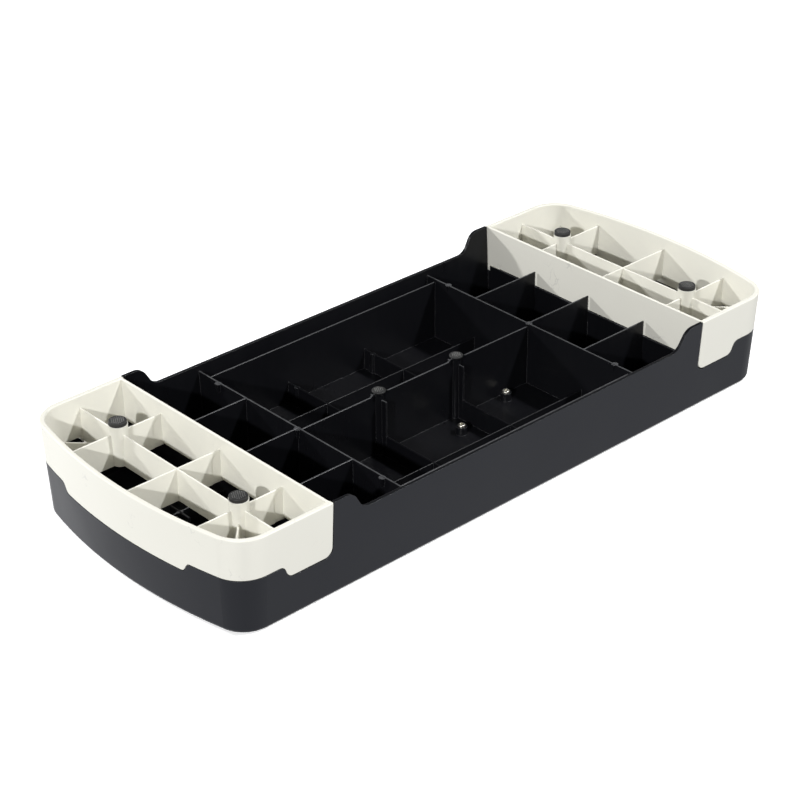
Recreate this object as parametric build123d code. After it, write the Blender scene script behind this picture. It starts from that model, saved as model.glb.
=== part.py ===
from build123d import *
import os

# Two-height step platform, lying upside down on its tread, open side up.
# Millimetres. Origin: centre of the footprint, on the surface it lies on.
# +X runs along the length, +Y across, +Z up (towards the feet).

# Overall size and outer form
LENGTH = 666.0
WIDTH = 280.0
HEIGHT = 91.0
END_RADIUS = 520.0
CORNER_RADIUS = 32.0
DRAFT_DEG = 3.1
BASE_EDGE_RADIUS = 4.0

# Tread mat and deck floor
MAT_THICKNESS = 1.6
MAT_STAND_OUT = 0.8
MAT_MARGIN = 16.0
FLOOR_SKIN = 2.4
FLOOR_TOP = MAT_THICKNESS + FLOOR_SKIN

# Deck walls, shoulders and ribs
DECK_WALL = 3.0
WALL_MIDDLE = DECK_WALL / 2
LONG_RIM_Z = 72.0
SHOULDER_FOOT_X = 189.3
SHOULDER_HEAD_X = 200.3
SHOULDER_RADIUS = 13.0
RIB = 2.2
RIB_TIP = 1.6
RIB_CROWN = 0.3
LOW_RIB = 2.0
CROSS_RIB_X = 139.5
CROSS_RIB_Z = 66.5
SPINE_Z = 63.5
END_RIB_Y = 70.0
RAIL_Y = 125.0
LOW_RIB_Z = 24.5
LOW_RIB_X = 47.0
END_WALL_CLEARANCE = 0.6
HIDDEN_RIB_Z = 38.5
HIDDEN_FIN_REACH = 13.0

# Round ejector bosses on the cross ribs and the low ribs
DISC_R = 3.1
DISC_X = 140.6
DISC_Y = 107.6
DISC_DROP = 0.8
DISC_COLUMN = 9.0
DISC_COLUMN_R = 1.7
LOW_DISC_Y = 112.5
LOW_DISC_R = 2.5
HIDDEN_DISC_R = 2.9

# Centre bosses with their small rubber pads
BOSS_X = 47.0
BOSS_TOP_R = 4.4
BOSS_FOOT_R = 5.2
BOSS_HEAD = 2.0
BOSS_HEAD_R = 5.8
CENTRE_PAD_R = 6.3
CENTRE_PAD_H = 1.8
CENTRE_PAD_TOP = 68.0
FIN_REACH = 10.3
FIN_TOP = 59.0
RAMP_FOOT = 11.0
RAMP_HEAD = 7.5
RAMP_RISE = 1.6
RAMP_ROOT = 1.0
PAD_ROOM = 0.3

# Tapping screws on short bosses in the tread floor
SCREW_SPOTS = [(29.0, -26.5), (102.0, -10.0)]
SCREW_BOSS_R = 5.0
SCREW_BOSS_FOOT_R = 5.5
SCREW_BOSS_TOP = 11.5
SCREW_HEAD_R = 3.6
SCREW_HEAD_H = 2.2
SCREW_HEAD_ROUND = 1.3
SCREW_SHANK_R = 1.75
SCREW_TIP_R = 1.2
SCREW_LENGTH = 6.5
RECESS_ARM = 3.6
RECESS_WIDTH = 0.9
RECESS_DEPTH = 1.2

# Joint line between leg and deck
LEG_INNER_X = 220.5
SEAM_GAP = 1.0
SIDE_TONGUE_Z = 39.9
END_TONGUE_Z = 43.3
CORNER_SEAM_Z = 52.1
SIDE_STEP_X = 269.0
END_STEP_Y = 80.5
STEP_HALF_RUN = 2.5
STEP_RADIUS = 7.0
END_STEP_RADIUS = 5.0
TONGUE_CORNER_R = 8.0
CORNER_ZONE_X = 292.0

# Leg
LEG_WALL = 4.8
WEB_INSET = 4.2
LEG_INNER_WALL = 2.6
LEG_INNER_BOTTOM = 51.1
LEG_RIB_TOP = 79.9
LEG_RIB_BOTTOM = 49.5
LEG_RIB_X = 268.4
LEG_RIB_Y = 80.0
CORNER_FIN_TOP = 68.5
CORNER_FIN_RUN = 90.0
RIM_ROUND = 1.2
WEB_ROOT = 0.5
THIN_WIDTH = 9.5
THIN_SPRING_Z = 70.0
THIN_CROWN_Z = 77.7
THIN_WEB = 1.0

# Foot bosses and rubber foot pads
FOOT_BOSS_R = 8.5
FOOT_BOSS_FOOT_R = 7.3
CUP_RIM_Z = 87.7
CUP_DEPTH = 3.0
FOOT_PAD_R = 7.9
FOOT_PAD_PLAY = 0.05
FOOT_PAD_TOP = 91.5
PAD_EDGE_ROUND = 0.8

TALL = 200.0
CLOSE = 0.01
HALF_L = LENGTH / 2
HALF_W = WIDTH / 2


def plan(inset=0.0):
    """Footprint at rim height: straight sides, bowed ends, round corners."""
    centre_x = HALF_L - END_RADIUS
    bowed_end = Circle(END_RADIUS - inset)
    outline = Rectangle(LENGTH, WIDTH - 2 * inset)
    outline = outline & Pos(centre_x, 0) * bowed_end & Pos(-centre_x, 0) * bowed_end
    return fillet(outline.vertices(), CORNER_RADIUS - inset)


def drafted(inset, z_low):
    """The drafted outer form, moved in by inset, from z_low up to the rim."""
    top = Pos(0, 0, HEIGHT) * plan(inset)
    return extrude(top, amount=-(HEIGHT - z_low), taper=DRAFT_DEG)


def side_prism(points, rounds=None, reach=TALL):
    """Extrude an X-Z outline across the width. rounds maps point index to fillet radius."""
    return extrude(Plane.XZ * rounded_polygon(points, rounds), amount=reach, both=True)


def rounded_polygon(points, rounds=None):
    """Closed polygon face. rounds maps point index to fillet radius."""
    face = make_face(Polyline(*points, close=True))
    for index, radius in (rounds or {}).items():
        corner = Vector(*points[index])
        vertex = min(face.vertices(), key=lambda v: (Vector(v.X, v.Y) - corner).length)
        face = fillet(vertex, radius)
    return face


def rib_along_x(x0, x1, y, z0, z1, foot=RIB, tip=RIB_TIP):
    """Thin rib along X: tapers to its top edge, which is rounded."""
    return rib_profile(foot, tip, z0, z1, Plane((x0, y, 0), x_dir=(0, 1, 0), z_dir=(1, 0, 0)), x1 - x0)


def rib_along_y(y0, y1, x, z0, z1, foot=RIB, tip=RIB_TIP):
    """Thin rib along Y: tapers to its top edge, which is rounded."""
    return rib_profile(foot, tip, z0, z1, Plane((x, y0, 0), x_dir=(-1, 0, 0), z_dir=(0, 1, 0)), y1 - y0)


def rib_profile(foot, tip, z0, z1, plane, length):
    """Section of a rib, extruded along the plane's normal."""
    crown = tip * RIB_CROWN
    outline = Polyline((-foot / 2, z0), (foot / 2, z0), (tip / 2, z1 - crown))
    outline += ThreePointArc((tip / 2, z1 - crown), (0, z1), (-tip / 2, z1 - crown))
    outline += Line((-tip / 2, z1 - crown), (-foot / 2, z0))
    return extrude(plane * make_face(outline), amount=length)


def cone_post(x, y, z0, z1, r0, r1):
    """Upright tapered post, of radius r0 at z0 and r1 at z1."""
    return Pos(x, y, (z0 + z1) / 2) * Cone(r0, r1, z1 - z0)


def leg_zone(gap=0.0):
    """Space of the right leg: everything above the wavy seam, outboard of its inner wall."""
    inner = LEG_INNER_X + gap
    side = [
        (inner, TALL),
        (inner, SIDE_TONGUE_Z + gap),
        (SIDE_STEP_X - STEP_HALF_RUN, SIDE_TONGUE_Z + gap),
        (SIDE_STEP_X + STEP_HALF_RUN, CORNER_SEAM_Z + gap),
        (CORNER_ZONE_X, CORNER_SEAM_Z + gap),
        (CORNER_ZONE_X, TALL),
    ]
    sides = side_prism(side, {1: TONGUE_CORNER_R, 2: STEP_RADIUS, 3: STEP_RADIUS})
    end = [
        (-TALL, TALL),
        (-TALL, CORNER_SEAM_Z + gap),
        (-END_STEP_Y - STEP_HALF_RUN, CORNER_SEAM_Z + gap),
        (-END_STEP_Y + STEP_HALF_RUN, END_TONGUE_Z + gap),
        (END_STEP_Y - STEP_HALF_RUN, END_TONGUE_Z + gap),
        (END_STEP_Y + STEP_HALF_RUN, CORNER_SEAM_Z + gap),
        (TALL, CORNER_SEAM_Z + gap),
        (TALL, TALL),
    ]
    outline = rounded_polygon(end, {index: END_STEP_RADIUS for index in range(2, 6)})
    ends = extrude(Plane((CORNER_ZONE_X, 0, 0), x_dir=(0, 1, 0), z_dir=(1, 0, 0)) * outline, amount=TALL)
    return sides + ends


def above_long_rim():
    """Space above the low long walls, up to the S-shaped shoulders beside the legs."""
    outline = [
        (-SHOULDER_HEAD_X, HEIGHT),
        (-SHOULDER_FOOT_X, LONG_RIM_Z),
        (SHOULDER_FOOT_X, LONG_RIM_Z),
        (SHOULDER_HEAD_X, HEIGHT),
        (SHOULDER_HEAD_X + 2 * SHOULDER_RADIUS, HEIGHT),
        (SHOULDER_HEAD_X + 2 * SHOULDER_RADIUS, TALL),
        (-SHOULDER_HEAD_X - 2 * SHOULDER_RADIUS, TALL),
        (-SHOULDER_HEAD_X - 2 * SHOULDER_RADIUS, HEIGHT),
    ]
    rounds = {index: SHOULDER_RADIUS for index in range(4)}
    return side_prism(outline, rounds)


def deck_shell():
    """Drafted tray with a rounded base edge, cut away where the legs sit on it."""
    outer = drafted(0.0, MAT_STAND_OUT)
    outer = fillet(outer.faces().sort_by(Axis.Z)[0].edges(), BASE_EDGE_RADIUS)
    shell = outer - drafted(DECK_WALL, FLOOR_TOP)
    shell -= above_long_rim()
    leg_space = leg_zone()
    shell -= leg_space
    shell -= mirror(leg_space, about=Plane.YZ)
    return shell - tread_mat()


def deck_ribs():
    """Every upright web inside the deck, before it is trimmed to the cavity."""
    webs = []
    for side in (-1, 1):
        cross_x = side * CROSS_RIB_X
        webs.append(rib_along_y(-HALF_W, HALF_W, cross_x, FLOOR_TOP, CROSS_RIB_Z))
        webs.append(rib_along_x(-CROSS_RIB_X, CROSS_RIB_X, side * RAIL_Y, FLOOR_TOP, SPINE_Z))
        webs.append(rib_along_x(-CROSS_RIB_X, CROSS_RIB_X, side * END_RIB_Y, FLOOR_TOP, LOW_RIB_Z, LOW_RIB))
        webs.append(rib_along_y(-RAIL_Y, RAIL_Y, side * LOW_RIB_X, FLOOR_TOP, LOW_RIB_Z, LOW_RIB))
        inner, outer = sorted((cross_x, side * (LEG_INNER_X - END_WALL_CLEARANCE)))
        support_x = side * (LEG_INNER_X + LEG_INNER_WALL / 2)
        webs.append(rib_along_y(-HALF_W, HALF_W, support_x, FLOOR_TOP, LEG_INNER_BOTTOM - SEAM_GAP))
        under_inner, under_outer = sorted((side * LEG_INNER_X, side * HALF_L))
        for y in (-END_RIB_Y, 0, END_RIB_Y):
            webs.append(rib_along_x(inner, outer, y, FLOOR_TOP, CROSS_RIB_Z))
        webs.append(rib_along_x(under_inner, under_outer, 0, FLOOR_TOP, HIDDEN_RIB_Z))
        fin_x = side * LEG_RIB_X
        webs.append(rib_along_y(-HIDDEN_FIN_REACH, HIDDEN_FIN_REACH, fin_x, FLOOR_TOP, HIDDEN_RIB_Z))
    webs.append(rib_along_x(-CROSS_RIB_X, CROSS_RIB_X, 0, FLOOR_TOP, SPINE_Z))
    return webs


def deck_bosses():
    """Round bosses: ejector discs, the centre bosses with fins, and the screw bosses."""
    posts = []
    for side in (-1, 1):
        for y in (-DISC_Y, 0, DISC_Y):
            top = CROSS_RIB_Z - DISC_DROP
            posts.append(cone_post(side * DISC_X, y, top - DISC_COLUMN, top, DISC_COLUMN_R, DISC_R))
        for y in (-LOW_DISC_Y, LOW_DISC_Y):
            posts.append(cone_post(side * LOW_RIB_X, y, FLOOR_TOP, LOW_RIB_Z - DISC_DROP, DISC_R, LOW_DISC_R))
        hidden_top = HIDDEN_RIB_Z - DISC_DROP
        posts.append(cone_post(side * LEG_RIB_X, 0, FLOOR_TOP, hidden_top, DISC_R, HIDDEN_DISC_R))
        posts.append(centre_boss(side * BOSS_X))
    for x, y in SCREW_SPOTS:
        posts.append(cone_post(x, y, FLOOR_TOP, SCREW_BOSS_TOP, SCREW_BOSS_FOOT_R, SCREW_BOSS_R))
    return posts


def centre_boss(x):
    """Post in the spine with a flared head, two side fins and a raised stretch of spine."""
    pad_seat = CENTRE_PAD_TOP - CENTRE_PAD_H
    neck = pad_seat - BOSS_HEAD
    post = cone_post(x, 0, FLOOR_TOP, neck, BOSS_FOOT_R, BOSS_TOP_R)
    post += cone_post(x, 0, neck, pad_seat, BOSS_TOP_R, BOSS_HEAD_R)
    post += rib_along_y(-FIN_REACH, FIN_REACH, x, FLOOR_TOP, FIN_TOP, LOW_RIB)
    ramp = [
        (x - RAMP_FOOT, SPINE_Z - RAMP_ROOT),
        (x + RAMP_FOOT, SPINE_Z - RAMP_ROOT),
        (x + RAMP_HEAD, SPINE_Z + RAMP_RISE),
        (x - RAMP_HEAD, SPINE_Z + RAMP_RISE),
    ]
    ramp_web = side_prism(ramp, reach=RIB_TIP / 2)
    pad_room = Pos(x, 0, CENTRE_PAD_TOP) * Cylinder(CENTRE_PAD_R + PAD_ROOM, 2 * CENTRE_PAD_H)
    return post + (ramp_web - pad_room)


def leg_wall_space():
    """Room for the right leg's outer wall, with its clearance on the inside."""
    ring = drafted(0.0, MAT_STAND_OUT) - drafted(LEG_WALL + SEAM_GAP, FLOOR_TOP)
    return ring & leg_zone()


def deck():
    """The black body: shell, webs and bosses in one moulding, with screw holes in its floor."""
    body = deck_shell()
    room = drafted(WALL_MIDDLE, FLOOR_TOP - FLOOR_SKIN / 2)
    for piece in deck_ribs() + deck_bosses():
        body += piece & room
    leg_space = leg_wall_space()
    body -= leg_space
    body -= mirror(leg_space, about=Plane.YZ)
    for screw in screw_solids():
        body -= screw
    return body


def leg_wall_ring():
    """Outer wall of the right leg: flush with the deck outside, ending in the seam wave below."""
    wall = drafted(0.0, FLOOR_TOP) - drafted(LEG_WALL, FLOOR_TOP)
    ring = wall & leg_zone(SEAM_GAP)
    rim_edges = ring.edges().filter_by_position(Axis.Z, HEIGHT - CLOSE, HEIGHT + CLOSE)
    inner_face_x = LEG_INNER_X + SEAM_GAP
    long_edges = rim_edges.filter_by(lambda edge: abs(edge.center().X - inner_face_x) > CLOSE)
    return fillet(long_edges, RIM_ROUND)


def thin_web_end(wall_x, y):
    """What is taken off both faces of a web near the inner wall, leaving a thin arched panel."""
    arch_x = wall_x + LEG_INNER_WALL
    far_x = arch_x + THIN_WIDTH
    low = LEG_RIB_BOTTOM - SEAM_GAP
    outline = Polyline((arch_x, THIN_CROWN_Z), (arch_x, low), (far_x, low), (far_x, THIN_SPRING_Z))
    crown_rise = THIN_CROWN_Z - THIN_SPRING_Z
    outline += EllipticalCenterArc((arch_x, THIN_SPRING_Z), THIN_WIDTH, crown_rise, start_angle=0, arc_size=90)
    arched = extrude(Plane.XZ * make_face(outline), amount=LEG_WALL, both=True)
    panel = Pos(arch_x, 0, LEG_RIB_TOP / 2) * Box(TALL, THIN_WEB, LEG_RIB_TOP)
    return Pos(0, y, 0) * (arched - panel)


def leg_webs():
    """The leg's inner wall and thin webs, before they are trimmed to its outer wall."""
    wall_x = LEG_INNER_X + SEAM_GAP
    wall_mid_x = wall_x + LEG_INNER_WALL / 2
    webs = [rib_along_y(-HALF_W, HALF_W, LEG_RIB_X, LEG_RIB_BOTTOM, LEG_RIB_TOP)]
    webs.append(rib_along_y(-HALF_W, HALF_W, wall_mid_x, LEG_INNER_BOTTOM, HEIGHT, LEG_INNER_WALL, LEG_INNER_WALL))
    root_x = wall_x + LEG_INNER_WALL - WEB_ROOT
    for y in (-LEG_RIB_Y, 0, LEG_RIB_Y):
        run = rib_along_x(root_x, HALF_L, y, LEG_RIB_BOTTOM, LEG_RIB_TOP)
        webs.append(run - thin_web_end(wall_x, y))
    for side in (-1, 1):
        fin = rib_along_x(0, CORNER_FIN_RUN, 0, LEG_RIB_BOTTOM, CORNER_FIN_TOP)
        webs.append(Pos(LEG_RIB_X, side * LEG_RIB_Y, 0) * Rot(0, 0, side * 45) * fin)
    return webs


def foot_boss(y):
    """Slightly tapered post under a foot pad, and the cup in its top that the pad is pressed into."""
    post = cone_post(LEG_RIB_X, y, LEG_RIB_BOTTOM, CUP_RIM_Z, FOOT_BOSS_FOOT_R, FOOT_BOSS_R)
    cup = Pos(LEG_RIB_X, y, CUP_RIM_Z) * Cylinder(FOOT_PAD_R, 2 * CUP_DEPTH)
    return post, cup


def right_leg():
    """The white leg frame: outer wall, inner wall, webs, corner fins and two foot bosses."""
    leg = leg_wall_ring()
    room = drafted(WEB_INSET, FLOOR_TOP)
    for web in leg_webs():
        leg += web & room
    for y in (-LEG_RIB_Y, LEG_RIB_Y):
        post, cup = foot_boss(y)
        leg = leg + post - cup
    return leg


def round_pad(x, y, radius, z0, z1):
    """Rubber disc with a rounded top edge."""
    disc = Pos(x, y, (z0 + z1) / 2) * Cylinder(radius, z1 - z0)
    top_edge = disc.edges().sort_by(Axis.Z)[-1]
    return fillet(top_edge, PAD_EDGE_ROUND)


def tread_mat():
    """Non-slip mat set in the tread face, on the side that lies down."""
    return extrude(plan(MAT_MARGIN), amount=MAT_THICKNESS)


def screw_solids():
    """Pan-head tapping screws with a cross recess, driven into the short bosses."""
    screws = []
    for x, y in SCREW_SPOTS:
        head_top = SCREW_BOSS_TOP + SCREW_HEAD_H
        head = Pos(x, y, SCREW_BOSS_TOP + SCREW_HEAD_H / 2) * Cylinder(SCREW_HEAD_R, SCREW_HEAD_H)
        head = fillet(head.edges().sort_by(Axis.Z)[-1], SCREW_HEAD_ROUND)
        head -= Pos(x, y, head_top) * Box(RECESS_ARM, RECESS_WIDTH, 2 * RECESS_DEPTH)
        head -= Pos(x, y, head_top) * Box(RECESS_WIDTH, RECESS_ARM, 2 * RECESS_DEPTH)
        shank_top = SCREW_BOSS_TOP + SCREW_HEAD_H / 4
        shank = cone_post(x, y, shank_top - SCREW_LENGTH, shank_top, SCREW_TIP_R, SCREW_SHANK_R)
        screws.append(head + shank)
    return screws


def save(name, shape):
    shape.label = name
    export_step(shape, f"parts/{name}.step")


def main():
    os.makedirs("parts", exist_ok=True)
    save("deck", deck())
    save("tread_mat", tread_mat())
    leg = right_leg()
    save("right_leg", leg)
    save("left_leg", mirror(leg, about=Plane.YZ))
    for side, x_name in ((-1, "left"), (1, "right")):
        seat = CENTRE_PAD_TOP - CENTRE_PAD_H
        save(f"{x_name}_centre_pad", round_pad(side * BOSS_X, 0, CENTRE_PAD_R, seat, CENTRE_PAD_TOP))
        for y_side, y_name in ((-1, "front"), (1, "back")):
            low = CUP_RIM_Z - CUP_DEPTH
            radius = FOOT_PAD_R - FOOT_PAD_PLAY
            pad = round_pad(side * LEG_RIB_X, y_side * LEG_RIB_Y, radius, low, FOOT_PAD_TOP)
            save(f"{x_name}_{y_name}_foot_pad", pad)
    save("tread_screws", Compound(children=screw_solids()))


main()
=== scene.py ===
"""Looks for the two-height step platform: camera, lights, floor, materials and the detailed rubber pieces."""

import math

import bmesh
import bpy
from mathutils import Matrix, Vector

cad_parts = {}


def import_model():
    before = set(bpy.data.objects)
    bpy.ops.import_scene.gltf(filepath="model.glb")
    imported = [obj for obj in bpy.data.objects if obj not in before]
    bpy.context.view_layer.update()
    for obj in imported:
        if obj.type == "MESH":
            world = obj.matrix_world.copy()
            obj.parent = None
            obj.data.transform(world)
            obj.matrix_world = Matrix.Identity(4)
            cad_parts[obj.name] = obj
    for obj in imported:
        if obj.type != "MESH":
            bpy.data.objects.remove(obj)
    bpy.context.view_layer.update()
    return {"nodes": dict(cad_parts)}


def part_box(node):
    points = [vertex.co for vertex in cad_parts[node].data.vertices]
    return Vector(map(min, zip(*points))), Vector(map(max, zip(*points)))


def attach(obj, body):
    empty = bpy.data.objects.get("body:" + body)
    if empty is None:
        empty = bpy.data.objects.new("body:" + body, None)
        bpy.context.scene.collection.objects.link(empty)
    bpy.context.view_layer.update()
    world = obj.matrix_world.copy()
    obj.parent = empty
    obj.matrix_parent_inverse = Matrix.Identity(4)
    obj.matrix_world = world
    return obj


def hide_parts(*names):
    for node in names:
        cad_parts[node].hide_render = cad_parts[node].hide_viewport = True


MM = 0.001

# Camera, in the row frame
CAMERA_PLACE = Vector((-1.1578, -1.2388, 1.0091))
CAMERA_AIM = Vector((0.5866, 0.6397, -0.4967))
CAMERA_ROLL_DEG = -0.30
CAMERA_LENS = 98.25
CAMERA_SENSOR = 36.0

# Lights: name, place, size across, watts. Each one is aimed at the origin.
LIGHTS = (
    ("key", (-2.6, -1.37, 1.47), 0.10, 66.0),
    ("far_left", (-1.08, 2.4, 1.2), 0.20, 49.0),
    ("high_right", (1.25, -1.37, 2.37), 0.20, 74.0),
)
LIGHT_COLOUR = (0.985, 0.99, 1.0)
SKY_BELOW = (0.69, 0.70, 0.72, 1.0)
SKY_ABOVE = (0.12, 0.12, 0.12, 1.0)
SKY_GLOW = (1.45, 1.46, 1.49, 1.0)
GLOW_TOWARDS = (-0.17, 0.98, 0.0)
GLOW_EDGE = 0.88
GLOW_CORE = 0.97
HORIZON_BLUR = 0.15

# Floor
FLOOR_HALF = 14.0
FLOOR_DROP = 0.05 * MM

# Outer form of the deck, as the materials see it
SIDE_FACE_Y = 130.0 * MM
END_BOW_RADIUS = 520.0 * MM
END_FACE_DEPTH = 14.0 * MM

# Heights between which the tops of the deck's webs get a pale painted highlight
TOP_HIGHLIGHT_ABOVE = 40.0 * MM
TOP_HIGHLIGHT_BELOW = 68.5 * MM
TOP_HIGHLIGHT_SHARE = 0.45
FACING_OUT = 0.3

# Rubber pads
PAD_STUD_PITCH = 1.9 * MM
PAD_STUD_RADIUS = 0.52 * MM
PAD_STUD_HEIGHT = 0.35 * MM
PAD_STUD_MARGIN = 1.2 * MM
PAD_EDGE_ROUND = 0.8 * MM
PAD_SEGMENTS = 64
PAD_CORNER_STEPS = 5
STUD_SEGMENTS = 8
STUD_BURY = 0.3

# Tread mat
MAT_BOW_RADIUS = 504.0 * MM
MAT_CORNER_RADIUS = 16.0 * MM
MAT_GRIP_HEIGHT = 0.6 * MM
MAT_GRIP_PITCH = 11.0 * MM
MAT_GRIP_HALF_LENGTH = 3.4 * MM
MAT_GRIP_RADIUS = 1.3 * MM
MAT_GRIP_MARGIN = 8.0 * MM
MAT_GRIP_ROOT = 0.1 * MM
MAT_EDGE_ROUND = 0.3 * MM
ARC_STEPS = 12


# --- shader helpers -------------------------------------------------------------------------------


def start_material(name):
    """A material with its node tree emptied but for the Principled shader and the output."""
    material = bpy.data.materials.new(name)
    material.use_nodes = True
    shader = material.node_tree.nodes["Principled BSDF"]
    return material, material.node_tree, shader


def add(tree, kind, inputs=None, **settings):
    """Add a shader node. Each input is a plain value or the socket that feeds it."""
    made = tree.nodes.new("ShaderNode" + kind)
    for key, value in settings.items():
        setattr(made, key, value)
    for key, value in (inputs or {}).items():
        if isinstance(value, bpy.types.NodeSocket):
            tree.links.new(value, made.inputs[key])
        else:
            made.inputs[key].default_value = value
    return made


def maths(tree, operation, first, second=0.0, clamp=False):
    return add(tree, "Math", {0: first, 1: second}, operation=operation, use_clamp=clamp).outputs[0]


def ramp(tree, value, low, high, to_low=0.0, to_high=1.0):
    """Smooth step of value from low..high to to_low..to_high."""
    inputs = {"Value": value, "From Min": low, "From Max": high, "To Min": to_low, "To Max": to_high}
    return add(tree, "MapRange", inputs, interpolation_type="SMOOTHSTEP").outputs["Result"]


def mix_colour(tree, factor, first, second):
    made = add(tree, "Mix", data_type="RGBA", clamp_factor=True)
    for socket, value in zip(("Factor_Float", "A_Color", "B_Color"), (factor, first, second)):
        target = next(s for s in made.inputs if s.identifier == socket)
        if isinstance(value, bpy.types.NodeSocket):
            tree.links.new(value, target)
        else:
            target.default_value = value
    return next(s for s in made.outputs if s.identifier == "Result_Color")


def place(tree, scale=(1.0, 1.0, 1.0)):
    """Object coordinates in metres, stretched by scale."""
    coordinates = add(tree, "TexCoord").outputs["Object"]
    return add(tree, "Mapping", {"Vector": coordinates, "Scale": scale}).outputs["Vector"]


def noise(tree, vector, scale, detail=2.0, roughness=0.5):
    inputs = {"Vector": vector, "Scale": scale, "Detail": detail, "Roughness": roughness}
    return add(tree, "TexNoise", inputs).outputs[0]


def edge_mask(tree, radius, low, high):
    """0 on flat faces and 1 on edges tighter than radius, from how far a bevelled normal turns."""
    bevelled = add(tree, "Bevel", {"Radius": radius}, samples=6).outputs["Normal"]
    flat = add(tree, "NewGeometry").outputs["Normal"]
    along = add(tree, "VectorMath", {0: bevelled, 1: flat}, operation="DOT_PRODUCT").outputs["Value"]
    return bevelled, ramp(tree, along, high, low)


def bump(tree, height, distance, strength, normal=None):
    inputs = {"Height": height, "Distance": distance, "Strength": strength}
    if normal is not None:
        inputs["Normal"] = normal
    return add(tree, "Bump", inputs).outputs["Normal"]


def outside_mask(tree):
    """1 on the deck's textured outer faces and 0 on the smooth inside of the moulding."""
    geometry = add(tree, "NewGeometry")
    spot = add(tree, "SeparateXYZ", {0: add(tree, "TexCoord").outputs["Object"]})
    facing = add(tree, "SeparateXYZ", {0: geometry.outputs["True Normal"]})
    y_out = maths(tree, "MULTIPLY", facing.outputs["Y"], maths(tree, "SIGN", spot.outputs["Y"]))
    x_out = maths(tree, "MULTIPLY", facing.outputs["X"], maths(tree, "SIGN", spot.outputs["X"]))
    y_far = maths(tree, "GREATER_THAN", maths(tree, "ABSOLUTE", spot.outputs["Y"]), SIDE_FACE_Y)
    bow_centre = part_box("left_leg")[0].x + END_BOW_RADIUS
    x_from_centre = maths(tree, "ADD", maths(tree, "ABSOLUTE", spot.outputs["X"]), bow_centre)
    from_centre = add(tree, "CombineXYZ", {"X": x_from_centre, "Y": spot.outputs["Y"]}).outputs[0]
    reach = add(tree, "VectorMath", {0: from_centre}, operation="LENGTH").outputs["Value"]
    x_far = maths(tree, "GREATER_THAN", reach, END_BOW_RADIUS - END_FACE_DEPTH)
    side = maths(tree, "MULTIPLY", y_far, maths(tree, "GREATER_THAN", y_out, FACING_OUT))
    end = maths(tree, "MULTIPLY", x_far, maths(tree, "GREATER_THAN", x_out, FACING_OUT))
    return maths(tree, "MAXIMUM", side, end)


def top_highlight_mask(tree):
    """1 on the upward-facing tops of the tall webs and their discs, where a pale highlight is painted."""
    height = add(tree, "SeparateXYZ", {0: add(tree, "TexCoord").outputs["Object"]}).outputs["Z"]
    rise = add(tree, "SeparateXYZ", {0: add(tree, "NewGeometry").outputs["Normal"]}).outputs["Z"]
    high = maths(tree, "GREATER_THAN", height, TOP_HIGHLIGHT_ABOVE)
    below_rim = maths(tree, "LESS_THAN", height, TOP_HIGHLIGHT_BELOW)
    # Painted highlight: stronger the more the face turns upwards towards the light.
    upward = ramp(tree, rise, 0.5, 0.9, 0.0, TOP_HIGHLIGHT_SHARE)
    return maths(tree, "MULTIPLY", maths(tree, "MULTIPLY", high, below_rim), upward)


# --- materials ------------------------------------------------------------------------------------


def deck_plastic():
    """Black moulded plastic: grained charcoal outside, smooth and darker inside, with a pale painted highlight
    on web tops and edges.
    """
    material, tree, shader = start_material("deck_plastic")
    outside = outside_mask(tree)
    cloud = noise(tree, place(tree), 9.0, detail=3.0)
    streak = noise(tree, place(tree, (1.0, 1.0, 0.12)), 160.0, detail=3.0)
    grain = noise(tree, place(tree), 2600.0, detail=2.0)
    bevelled, edge = edge_mask(tree, 0.5 * MM, 0.80, 0.985)
    outer = mix_colour(tree, cloud, (0.0075, 0.0085, 0.0125, 1.0), (0.011, 0.012, 0.0165, 1.0))
    inner = mix_colour(tree, cloud, (0.004, 0.0041, 0.0052, 1.0), (0.0065, 0.0067, 0.0082, 1.0))
    body = mix_colour(tree, outside, inner, outer)
    # Painted highlight: a pale grey laid on web tops and on edges, stronger on the smooth inside than outside.
    highlight_colour = mix_colour(tree, streak, (0.07, 0.071, 0.075, 1.0), (0.19, 0.193, 0.20, 1.0))
    edge_highlight = maths(tree, "MULTIPLY", edge, ramp(tree, outside, 0.0, 1.0, 0.55, 0.25))
    highlight_weight = maths(tree, "MAXIMUM", edge_highlight, top_highlight_mask(tree))
    colour = mix_colour(tree, highlight_weight, body, highlight_colour)
    tree.links.new(colour, shader.inputs["Base Color"])
    smooth = ramp(tree, maths(tree, "ADD", cloud, streak), 0.7, 1.3, 0.27, 0.38)
    rough = ramp(tree, cloud, 0.3, 0.7, 0.42, 0.50)
    rough_of = add(tree, "Mix", data_type="FLOAT", clamp_factor=True)
    for index, value in ((0, outside), (2, smooth), (3, rough)):
        tree.links.new(value, rough_of.inputs[index])
    tree.links.new(rough_of.outputs[0], shader.inputs["Roughness"])
    tree.links.new(ramp(tree, outside, 0.0, 1.0, 0.26, 0.34), shader.inputs["Specular IOR Level"])
    grain_share = ramp(tree, outside, 0.0, 1.0, 0.15, 0.6)
    height = maths(tree, "MULTIPLY", grain, grain_share)
    height = maths(tree, "ADD", height, maths(tree, "MULTIPLY", streak, 0.3))
    tree.links.new(bump(tree, height, 0.03 * MM, 0.5, bevelled), shader.inputs["Normal"])
    shader.inputs["IOR"].default_value = 1.5
    return material


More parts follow.
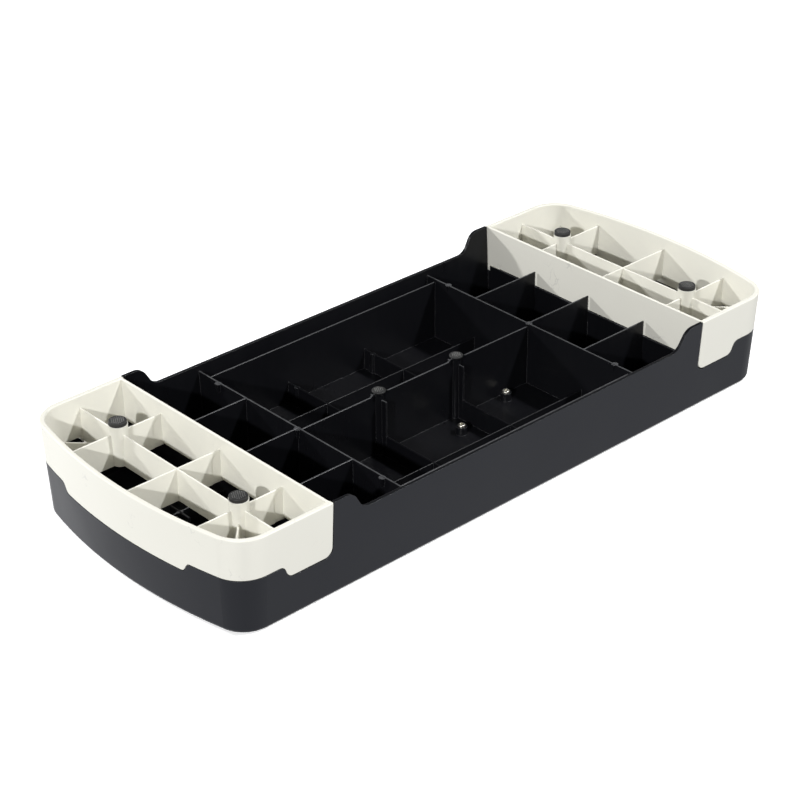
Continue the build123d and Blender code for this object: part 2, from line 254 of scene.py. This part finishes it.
def leg_plastic():
    """Warm white moulded plastic with a fine satin grain and a few faint grey scuffs."""
    material, tree, shader = start_material("leg_plastic")
    cloud = noise(tree, place(tree), 14.0, detail=4.0)
    grain = noise(tree, place(tree), 2200.0, detail=2.0)
    pulled = noise(tree, place(tree, (1.0, 1.0, 0.1)), 130.0, detail=2.0)
    patches = noise(tree, place(tree), 30.0, detail=1.0)
    bevelled, edge = edge_mask(tree, 0.5 * MM, 0.82, 0.99)
    base = mix_colour(tree, cloud, (0.80, 0.785, 0.70, 1.0), (0.835, 0.82, 0.74, 1.0))
    # Painted shade: edges and inside corners are greyed a little.
    edge_shaded = mix_colour(tree, maths(tree, "MULTIPLY", edge, 0.3), base, (0.74, 0.73, 0.67, 1.0))
    hairs = add(tree, "TexWave", {"Vector": place(tree), "Scale": 34.0, "Distortion": 22.0, "Detail": 4.0})
    hair = ramp(tree, hairs.outputs[1], 0.965, 1.0)
    scuffed = maths(tree, "MULTIPLY", hair, ramp(tree, patches, 0.62, 0.74, 0.0, 0.45))
    colour = mix_colour(tree, scuffed, edge_shaded, (0.52, 0.51, 0.48, 1.0))
    tree.links.new(colour, shader.inputs["Base Color"])
    tree.links.new(ramp(tree, cloud, 0.3, 0.7, 0.38, 0.48), shader.inputs["Roughness"])
    height = maths(tree, "ADD", maths(tree, "MULTIPLY", grain, 0.5), maths(tree, "MULTIPLY", pulled, 0.4))
    tree.links.new(bump(tree, height, 0.025 * MM, 0.4, bevelled), shader.inputs["Normal"])
    shader.inputs["IOR"].default_value = 1.48
    return material


def rubber(name, dark, pale, roughness, grain_scale):
    """Matt rubber: fine open grain, with a pale painted highlight on its rounded edges."""
    material, tree, shader = start_material(name)
    cloud = noise(tree, place(tree), 60.0, detail=3.0)
    grain = noise(tree, place(tree), grain_scale, detail=3.0, roughness=0.6)
    bevelled, edge = edge_mask(tree, 0.25 * MM, 0.85, 0.99)
    body = mix_colour(tree, ramp(tree, maths(tree, "ADD", cloud, grain), 0.8, 1.25), dark, pale)
    pale_rim_highlight = tuple(1.7 * channel for channel in pale[:3]) + (1.0,)
    # Painted highlight: edges and rims are paled towards a lighter grey.
    colour = mix_colour(tree, maths(tree, "MULTIPLY", edge, 0.5), body, pale_rim_highlight)
    tree.links.new(colour, shader.inputs["Base Color"])
    tree.links.new(ramp(tree, cloud, 0.3, 0.7, roughness - 0.06, roughness + 0.06), shader.inputs["Roughness"])
    tree.links.new(bump(tree, grain, 0.06 * MM, 0.5, bevelled), shader.inputs["Normal"])
    return material


def screw_steel():
    """Zinc plated steel, a little yellowed, with fine turned marks."""
    material, tree, shader = start_material("screw_steel")
    cloud = noise(tree, place(tree), 400.0, detail=3.0)
    colour = mix_colour(tree, cloud, (0.66, 0.63, 0.54, 1.0), (0.86, 0.84, 0.76, 1.0))
    tree.links.new(colour, shader.inputs["Base Color"])
    tree.links.new(ramp(tree, cloud, 0.3, 0.7, 0.28, 0.44), shader.inputs["Roughness"])
    bevelled = add(tree, "Bevel", {"Radius": 0.2 * MM}, samples=6).outputs["Normal"]
    tree.links.new(bump(tree, cloud, 0.03 * MM, 0.4, bevelled), shader.inputs["Normal"])
    shader.inputs["Metallic"].default_value = 1.0
    return material


def floor_paint():
    """Plain near-white studio floor."""
    material, tree, shader = start_material("floor_paint")
    cloud = noise(tree, place(tree), 1.5, detail=2.0)
    colour = mix_colour(tree, cloud, (0.90, 0.90, 0.90, 1.0), (0.92, 0.92, 0.92, 1.0))
    tree.links.new(colour, shader.inputs["Base Color"])
    shader.inputs["Roughness"].default_value = 0.9
    shader.inputs["Specular IOR Level"].default_value = 0.1
    shader.inputs["Emission Color"].default_value = (1.0, 1.0, 1.0, 1.0)
    shader.inputs["Emission Strength"].default_value = 0.45
    return material


# --- mesh helpers ---------------------------------------------------------------------------------


def finish_mesh(mesh, name, body, node, materials):
    """Turn a bmesh into a piece that stands for a CAD node and rides on its body."""
    bmesh.ops.recalc_face_normals(mesh, faces=mesh.faces)
    data = bpy.data.meshes.new(name)
    mesh.to_mesh(data)
    mesh.free()
    for material in materials:
        data.materials.append(material)
    piece = bpy.data.objects.new(name, data)
    bpy.context.scene.collection.objects.link(piece)
    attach(piece, body)
    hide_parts(node)
    return piece


def add_loop(mesh, points):
    return [mesh.verts.new(point) for point in points]


def bridge(mesh, lower, upper):
    """Quads between two closed loops of the same length."""
    count = len(lower)
    pairs = [(i, (i + 1) % count) for i in range(count)]
    return [mesh.faces.new((lower[i], lower[after], upper[after], upper[i])) for i, after in pairs]


def ring(centre, radius, z, count):
    turns = (2 * math.pi * i / count for i in range(count))
    return [(centre.x + radius * math.cos(t), centre.y + radius * math.sin(t), z) for t in turns]


def stacked_solid(mesh, loops, material_index=0):
    """Closed solid through a stack of loops, capped at both ends."""
    made = [add_loop(mesh, points) for points in loops]
    faces = [mesh.faces.new(made[0]), mesh.faces.new(made[-1])]
    for lower, upper in zip(made, made[1:]):
        faces += bridge(mesh, lower, upper)
    for face in faces:
        face.material_index = material_index


def rounded_profile(radius, low, high, corner, steps):
    """(radius, z) pairs up a disc's side and over its rounded top corner."""
    profile = [(radius, low), (radius, high - corner)]
    for i in range(1, steps + 1):
        angle = math.pi / 2 * i / steps
        profile.append((radius - corner + corner * math.cos(angle), high - corner + corner * math.sin(angle)))
    return profile


# --- pieces ---------------------------------------------------------------------------------------


def stud_dome(mesh, x, y, z, radius, height):
    """One low rubber stud with a rounded top."""
    spot = Vector((x, y, 0.0))
    bury = STUD_BURY * height
    loops = [
        ring(spot, radius, z - bury, STUD_SEGMENTS),
        ring(spot, 0.85 * radius, z + 0.6 * height, STUD_SEGMENTS),
        ring(spot, 0.45 * radius, z + height, STUD_SEGMENTS),
    ]
    stacked_solid(mesh, loops, material_index=1)


def studded_pad(node, body, rubber_material, stud_material):
    """Round rubber pad with rows of tiny studs on its top face."""
    low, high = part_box(node)
    centre = (low + high) / 2
    radius = (high.x - low.x) / 2
    face = high.z - PAD_STUD_HEIGHT
    mesh = bmesh.new()
    profile = rounded_profile(radius, low.z, face, PAD_EDGE_ROUND, PAD_CORNER_STEPS)
    stacked_solid(mesh, [ring(centre, r, z, PAD_SEGMENTS) for r, z in profile])
    row_height = PAD_STUD_PITCH * math.sqrt(3) / 2
    field = radius - PAD_STUD_MARGIN - PAD_STUD_RADIUS
    rows = int(field / row_height)
    for row in range(-rows, rows + 1):
        shift = PAD_STUD_PITCH / 2 if row % 2 else 0.0
        columns = int(field / PAD_STUD_PITCH) + 1
        for column in range(-columns, columns + 1):
            dx, dy = column * PAD_STUD_PITCH + shift, row * row_height
            if math.hypot(dx, dy) <= field:
                stud_dome(mesh, centre.x + dx, centre.y + dy, face, PAD_STUD_RADIUS, PAD_STUD_HEIGHT)
    return finish_mesh(mesh, node + "_rubber", body, node, [rubber_material, stud_material])


def arc(centre_x, centre_y, radius, start, end, steps):
    """Points of a circular arc, both ends included. Angles in radians."""
    angles = (start + (end - start) * i / steps for i in range(steps + 1))
    return [(centre_x + radius * math.cos(a), centre_y + radius * math.sin(a)) for a in angles]


def mat_outline(half_length, half_width, inset=0.0):
    """The mat's plan: straight long sides, bowed ends and round corners."""
    bow, corner = MAT_BOW_RADIUS, MAT_CORNER_RADIUS
    bow_x = half_length - bow
    corner_y = half_width - corner
    corner_x = bow_x + math.sqrt((bow - corner) ** 2 - corner_y**2)
    meet = math.atan2(corner_y, corner_x - bow_x)
    right = arc(corner_x, -corner_y, corner - inset, -math.pi / 2, -meet, ARC_STEPS)
    right += arc(bow_x, 0.0, bow - inset, -meet, meet, 2 * ARC_STEPS)[1:-1]
    right += arc(corner_x, corner_y, corner - inset, meet, math.pi / 2, ARC_STEPS)
    return right + [(-x, -y) for x, y in right]


def grip_bar(mesh, x, y, along_x, low, high):
    """One raised grip bar with round ends, standing out downwards from the mat."""
    half, radius = MAT_GRIP_HALF_LENGTH, MAT_GRIP_RADIUS
    loops = []
    for z, shrink in ((high, 1.0), (low + 0.3 * (high - low), 0.95), (low, 0.7)):
        outline = arc(half, 0.0, radius * shrink, -math.pi / 2, math.pi / 2, 4)
        outline += arc(-half, 0.0, radius * shrink, math.pi / 2, 3 * math.pi / 2, 4)
        turned = outline if along_x else [(-v, u) for u, v in outline]
        loops.append([(x + u, y + v, z) for u, v in turned])
    stacked_solid(mesh, loops)


def grip_mat(node, body, material):
    """Tread mat with a basket pattern of raised bars on the side that lies down."""
    low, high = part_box(node)
    half_length, half_width = high.x, high.y
    face = low.z + MAT_GRIP_HEIGHT
    mesh = bmesh.new()
    loops = []
    for z, inset in ((face, MAT_EDGE_ROUND), (face + MAT_EDGE_ROUND, 0.0), (high.z, 0.0)):
        loops.append([(x, y, z) for x, y in mat_outline(half_length, half_width, inset)])
    stacked_solid(mesh, loops)
    columns = int((half_length - MAT_GRIP_MARGIN) / MAT_GRIP_PITCH)
    rows = int((half_width - MAT_GRIP_MARGIN) / MAT_GRIP_PITCH)
    bow_x = half_length - MAT_BOW_RADIUS
    for column in range(-columns, columns + 1):
        for row in range(-rows, rows + 1):
            x, y = column * MAT_GRIP_PITCH, row * MAT_GRIP_PITCH
            if math.hypot(abs(x) - bow_x, y) < MAT_BOW_RADIUS - MAT_GRIP_MARGIN:
                grip_bar(mesh, x, y, (column + row) % 2 == 0, low.z, face + MAT_GRIP_ROOT)
    return finish_mesh(mesh, node + "_grip", body, node, [material])


# --- stage ----------------------------------------------------------------------------------------


def add_camera():
    data = bpy.data.cameras.new("camera")
    data.lens = CAMERA_LENS
    data.sensor_width = CAMERA_SENSOR
    data.clip_start = 0.05
    data.clip_end = 60.0
    camera = bpy.data.objects.new("camera", data)
    bpy.context.scene.collection.objects.link(camera)
    aim = CAMERA_AIM.to_track_quat("-Z", "Y").to_matrix()
    roll = Matrix.Rotation(math.radians(CAMERA_ROLL_DEG), 3, "Z")
    camera.matrix_world = Matrix.Translation(CAMERA_PLACE) @ (aim @ roll).to_4x4()
    bpy.context.scene.camera = camera


def add_lights():
    for name, place_at, size, watts in LIGHTS:
        data = bpy.data.lights.new(name, "AREA")
        data.shape = "DISK"
        data.size = size
        data.energy = watts
        data.color = LIGHT_COLOUR
        lamp = bpy.data.objects.new(name, data)
        bpy.context.scene.collection.objects.link(lamp)
        lamp.location = place_at
        lamp.rotation_mode = "QUATERNION"
        lamp.rotation_quaternion = (-Vector(place_at)).to_track_quat("-Z", "Y")


def add_world():
    """Soft light: dim overhead, and brighter below the horizon, where it stands for a pale floor.

    The floor's bounce is strongest on the far left, which gives that end face its soft grey sheen.
    """
    world = bpy.data.worlds.new("studio")
    world.use_nodes = True
    tree = world.node_tree
    background = tree.nodes["Background"]
    heading = add(tree, "TexCoord").outputs["Generated"]
    height = add(tree, "SeparateXYZ", {0: heading}).outputs["Z"]
    level = add(tree, "VectorMath", {0: heading, 1: (1.0, 1.0, 0.0)}, operation="MULTIPLY").outputs["Vector"]
    level = add(tree, "VectorMath", {0: level}, operation="NORMALIZE").outputs["Vector"]
    towards = add(tree, "VectorMath", {0: level, 1: GLOW_TOWARDS}, operation="DOT_PRODUCT").outputs["Value"]
    below = mix_colour(tree, ramp(tree, towards, GLOW_EDGE, GLOW_CORE), SKY_BELOW, SKY_GLOW)
    above = ramp(tree, height, -HORIZON_BLUR, HORIZON_BLUR)
    tree.links.new(mix_colour(tree, above, below, SKY_ABOVE), background.inputs["Color"])
    bpy.context.scene.world = world


def add_floor():
    mesh = bmesh.new()
    corners = [(-1, -1), (1, -1), (1, 1), (-1, 1)]
    mesh.faces.new([mesh.verts.new((FLOOR_HALF * x, FLOOR_HALF * y, -FLOOR_DROP)) for x, y in corners])
    data = bpy.data.meshes.new("floor")
    mesh.to_mesh(data)
    mesh.free()
    data.materials.append(floor_paint())
    floor = bpy.data.objects.new("floor", data)
    bpy.context.scene.collection.objects.link(floor)
    floor.visible_diffuse = False
    floor.visible_glossy = False


def paint(node, material):
    node.data.materials.clear()
    node.data.materials.append(material)


def main():
    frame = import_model()
    bpy.context.scene.view_settings.view_transform = "Standard"

    nodes = frame["nodes"]
    paint(nodes["deck"], deck_plastic())
    paint(nodes["tread_screws"], screw_steel())
    leg = leg_plastic()
    for side in ("left", "right"):
        paint(nodes[side + "_leg"], leg)

    pad = rubber("pad_rubber", (0.012, 0.012, 0.012, 1.0), (0.034, 0.034, 0.033, 1.0), 0.60, 1800.0)
    stud = rubber("pad_stud_rubber", (0.07, 0.07, 0.068, 1.0), (0.20, 0.20, 0.19, 1.0), 0.50, 700.0)
    mat = rubber("mat_rubber", (0.014, 0.015, 0.017, 1.0), (0.03, 0.031, 0.034, 1.0), 0.7, 900.0)
    for side in ("left", "right"):
        studded_pad(side + "_centre_pad", "deck", pad, stud)
        for row in ("front", "back"):
            studded_pad(f"{side}_{row}_foot_pad", side + "_leg", pad, stud)
    grip_mat("tread_mat", "deck", mat)

    add_camera()
    add_lights()
    add_world()
    add_floor()


main()
